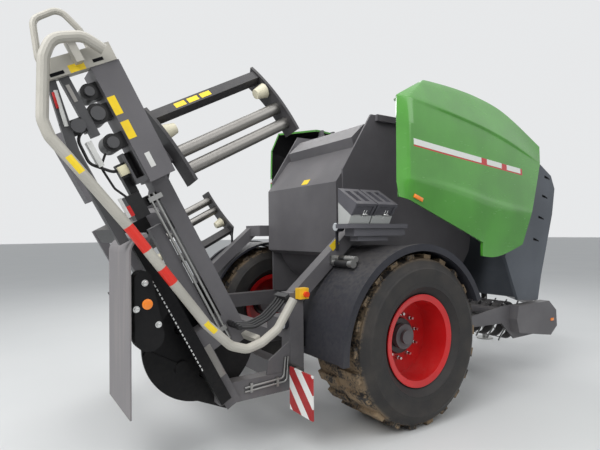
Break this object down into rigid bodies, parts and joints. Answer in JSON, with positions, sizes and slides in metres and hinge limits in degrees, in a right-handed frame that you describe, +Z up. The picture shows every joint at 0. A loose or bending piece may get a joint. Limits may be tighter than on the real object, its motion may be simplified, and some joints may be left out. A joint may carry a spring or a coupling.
{
  "type": "round baler with bale wrapper",
  "caption": "Towed fixed-chamber round baler with a two-arm film wrapper folded up behind it, on one axle, with pickup, side hoods, drawbar and jack.",
  "frame": {"origin": "middle of the bounding box's bottom face, on the floor below the middle of the whole length", "axes": "+X forward to the towing eye, +Y to the machine's left, +Z up"},
  "size_m": [6.72, 2.88, 2.82],
  "materials": {
    "grey_paint": "semi-gloss",
    "black_paint": "semi-gloss",
    "green_paint": "gloss",
    "red_paint": "semi-gloss",
    "pale_paint": "semi-gloss",
    "grey_plastic": "satin",
    "black_plastic": "satin",
    "yellow_plastic": "satin",
    "marker": "retroreflective",
    "zinc": "satin",
    "aluminium": "satin",
    "tyre": "matt",
    "rubber": "matt"
  },
  "bodies": {
    "chassis": {"chassis_frame": "grey_paint", "axle_beam": "grey_paint", "drawbar": "grey_paint", "jack_sleeve": "black_paint", "gearbox": "black_paint", "chamber_walls": "grey_paint", "chamber_shell": "grey_paint", "front_cowl": "grey_plastic", "front_roof": "black_paint", "fender_right": "black_plastic", "fender_left": "black_plastic", "film_rack_right": "grey_paint", "marker_right": "marker", "marker_left": "marker", "lamps": "black_plastic", "stop_box": "yellow_plastic", "hydraulics": "zinc"},
    "wheel_right": {"tyre_right": "tyre", "rim_right": "red_paint"},
    "wheel_left": {"tyre_left": "tyre", "rim_left": "red_paint"},
    "jack": {"jack_leg": "zinc"},
    "tailgate": {"tailgate_shell": "grey_paint", "tailgate_cover": "black_paint"},
    "hood_right": {"hood_right": "green_paint"},
    "hood_left": {"hood_left": "green_paint"},
    "pickup": {"pickup_frame": "grey_paint"},
    "reel": {"pickup_reel": "zinc"},
    "wrapper": {"wrapper_frame": "grey_paint", "wrapper_head": "grey_paint", "guard_bow": "pale_paint", "wrapper_drive": "black_paint", "wrapper_pipes": "zinc", "wrapper_hoses": "rubber", "table_frame": "black_paint", "table_covers": "black_plastic", "table_flap": "rubber"},
    "table_roller_front": {"roller_front": "zinc"},
    "table_roller_rear": {"roller_rear": "zinc"},
    "rotor": {"rotor_arms": "grey_paint", "dispenser_right": "black_paint", "dispenser_left": "black_paint", "stretch_right": "aluminium", "stretch_left": "aluminium"}
  },
  "joints": [
    {"name": "wheel_right_spin", "type": "hinge", "parent": "chassis", "child": "wheel_right", "pos_m": [-0.74001, -1.13, 0.675], "axis": [0, 1, 0], "continuous": true},
    {"name": "wheel_left_spin", "type": "hinge", "parent": "chassis", "child": "wheel_left", "pos_m": [-0.74001, 1.13, 0.675], "axis": [0, 1, 0], "continuous": true},
    {"name": "jack_slide", "type": "slide", "parent": "chassis", "child": "jack", "axis": [0, 0, 1], "range_m": [0, 0.22]},
    {"name": "tailgate_lift", "type": "hinge", "parent": "chassis", "child": "tailgate", "pos_m": [0.05999, 0, 2.43], "axis": [0, 1, 0], "range_deg": [0, 55]},
    {"name": "hood_right_lift", "type": "hinge", "parent": "chassis", "child": "hood_right", "pos_m": [-0.24001, -0.705, 2.7], "axis": [-1, 0, 0], "range_deg": [0, 50]},
    {"name": "hood_left_lift", "type": "hinge", "parent": "chassis", "child": "hood_left", "pos_m": [-0.24001, 0.705, 2.7], "axis": [1, 0, 0], "range_deg": [0, 50]},
    {"name": "pickup_lower", "type": "hinge", "parent": "chassis", "child": "pickup", "pos_m": [0.25999, 0, 0.67], "axis": [0, 1, 0], "range_deg": [0, 17]},
    {"name": "reel_spin", "type": "hinge", "parent": "pickup", "child": "reel", "pos_m": [1.05999, 0, 0.57], "axis": [0, 1, 0], "continuous": true},
    {"name": "wrapper_tilt", "type": "hinge", "parent": "chassis", "child": "wrapper", "pos_m": [-2.19001, 0, 0.42], "axis": [0, -1, 0], "range_deg": [0, 40]},
    {"name": "roller_front_spin", "type": "hinge", "parent": "wrapper", "child": "table_roller_front", "pos_m": [-2.31922, 0, 0.57781], "axis": [0, 1, 0], "continuous": true},
    {"name": "roller_rear_spin", "type": "hinge", "parent": "wrapper", "child": "table_roller_rear", "pos_m": [-2.48729, 0, 0.89391], "axis": [0, 1, 0], "continuous": true},
    {"name": "rotor_spin", "type": "hinge", "parent": "wrapper", "child": "rotor", "pos_m": [-2.76511, 0, 1.50161], "axis": [0.8829, 0, 0.4695], "continuous": true}
  ]
}
